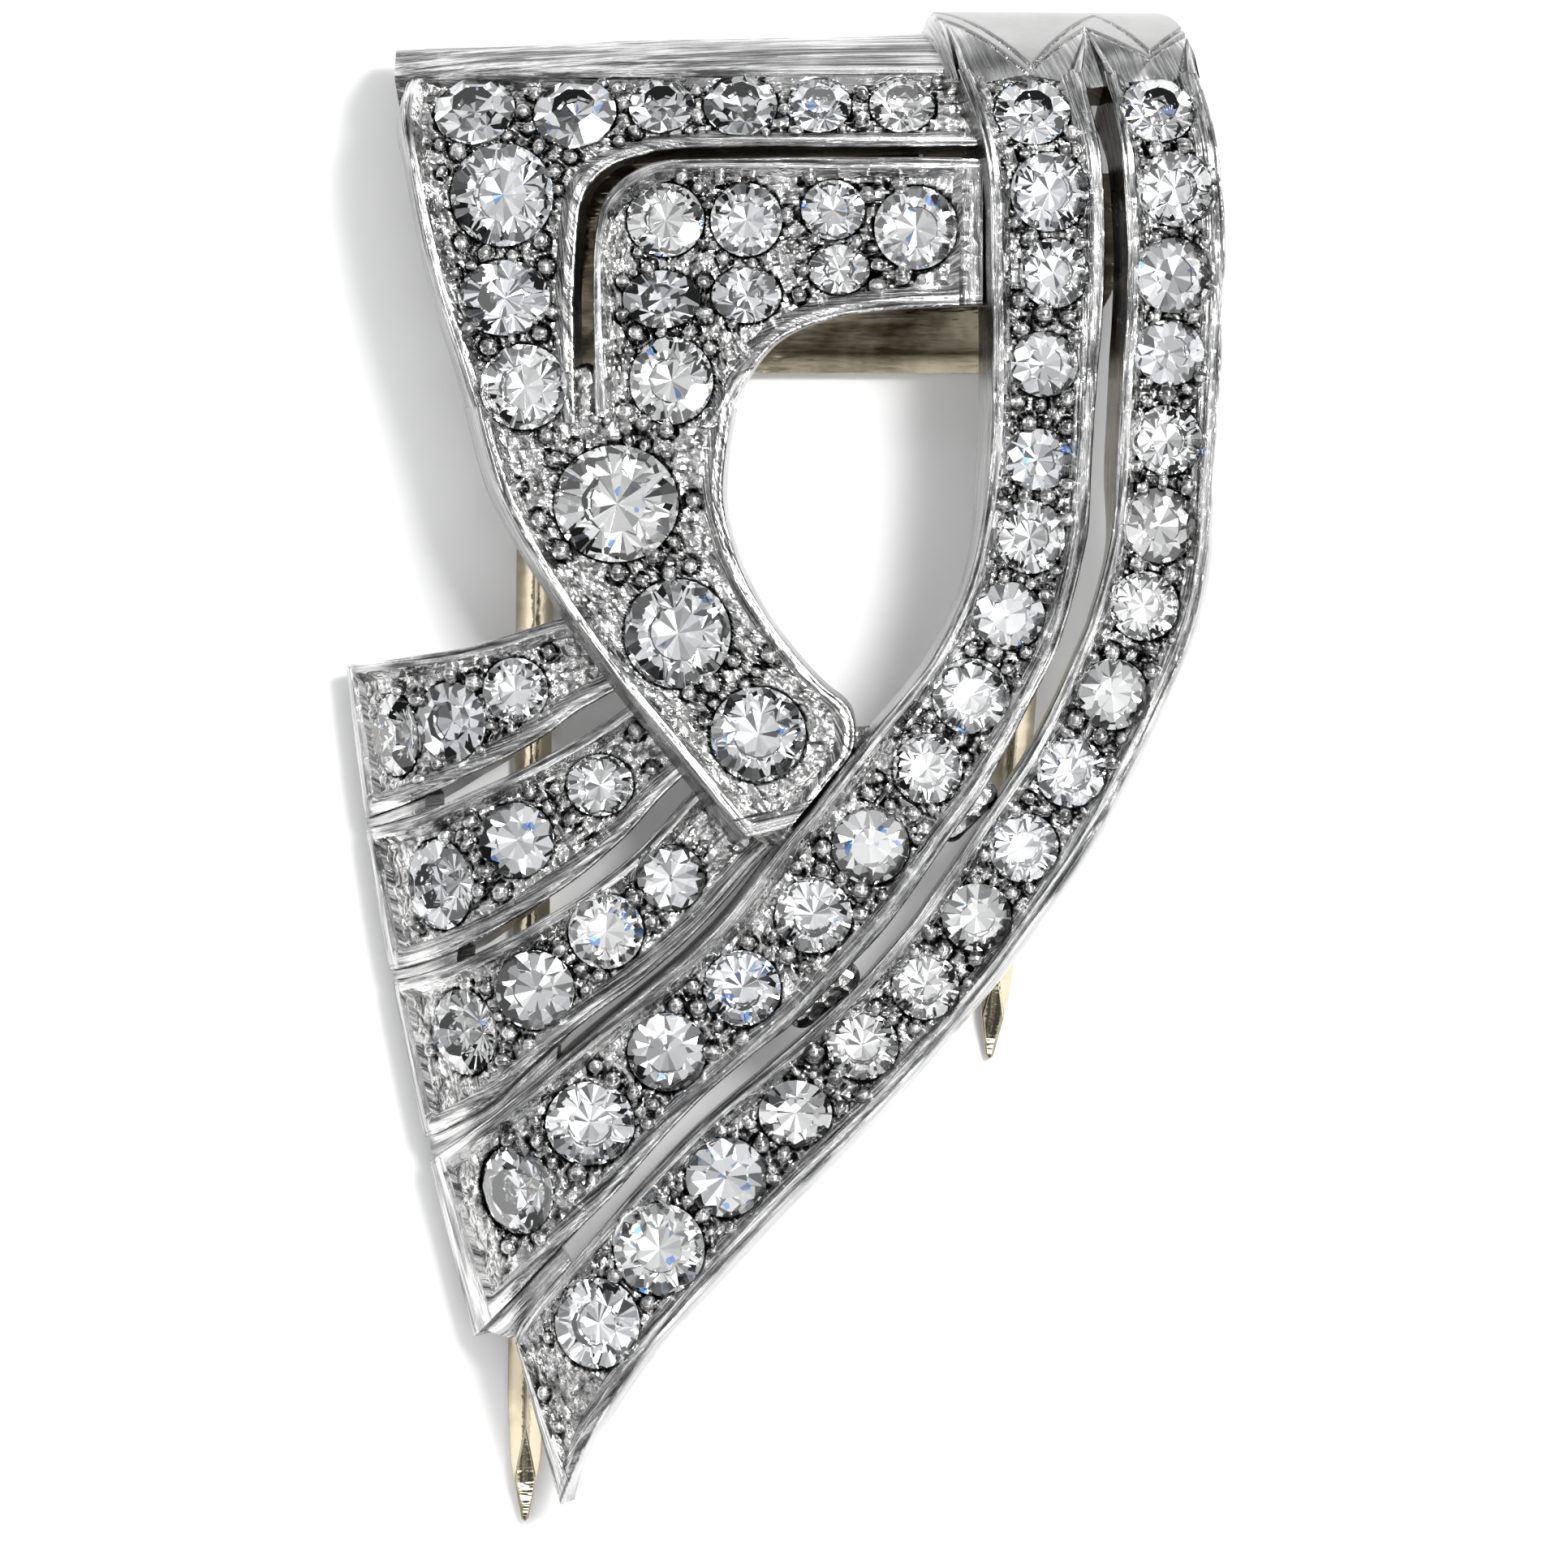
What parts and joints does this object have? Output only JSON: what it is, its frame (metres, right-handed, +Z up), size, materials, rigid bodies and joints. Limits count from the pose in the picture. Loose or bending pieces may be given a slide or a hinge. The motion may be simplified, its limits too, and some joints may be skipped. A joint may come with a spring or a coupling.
{
  "type": "dress clip",
  "caption": "Platinum dress clip, a folded ribbon and fan pierced and grain-set with round diamonds, with a hinged two-pronged clip lever in pale gold behind.",
  "frame": {"origin": "centre of the footprint on the surface that the clip's back lies on", "axes": "+Z up, out of the diamond-set front; +Y towards the rolled top edge, where the lever is hinged; +X to the right of someone who looks at the front with the rolled top edge up"},
  "size_m": [0.0222, 0.0384, 0.0068],
  "materials": {
    "platinum": "polished, finely scratched",
    "gold": "polished pale gold",
    "diamond": "cut and polished"
  },
  "bodies": {
    "front": {"front_frame": "platinum", "hinge_bracket": "platinum", "hinge_pin": "gold", "top_stone_1": "diamond", "top_stone_2": "diamond", "top_stone_3": "diamond", "top_stone_4": "diamond", "top_stone_5": "diamond", "top_stone_6": "diamond", "left_stone_1": "diamond", "left_stone_2": "diamond", "left_stone_3": "diamond", "inner_stone_1": "diamond", "inner_stone_2": "diamond", "inner_stone_3": "diamond", "inner_stone_4": "diamond", "inner_stone_5": "diamond", "inner_stone_6": "diamond", "inner_stone_7": "diamond", "inner_stone_8": "diamond", "band_stone_1": "diamond", "band_stone_2": "diamond", "band_stone_3": "diamond", "ray_1_stone_1": "diamond", "ray_1_stone_2": "diamond", "ray_1_stone_3": "diamond", "ray_2_stone_1": "diamond", "ray_2_stone_2": "diamond", "ray_2_stone_3": "diamond", "ray_3_stone_1": "diamond", "ray_3_stone_2": "diamond", "ray_3_stone_3": "diamond", "ray_3_stone_4": "diamond", "inner_ribbon_stones": "diamond", "outer_ribbon_stones": "diamond"},
    "lever": {"prong_lever": "gold"}
  },
  "joints": [
    {"name": "prong_hinge", "type": "hinge", "parent": "front", "child": "lever", "pos_m": [0, 0.0163, 0.0011], "axis": [1, 0, 0], "range_deg": [0, 50], "stiffness_Nm_per_rad": 0.01, "springref_deg": -28.65}
  ]
}
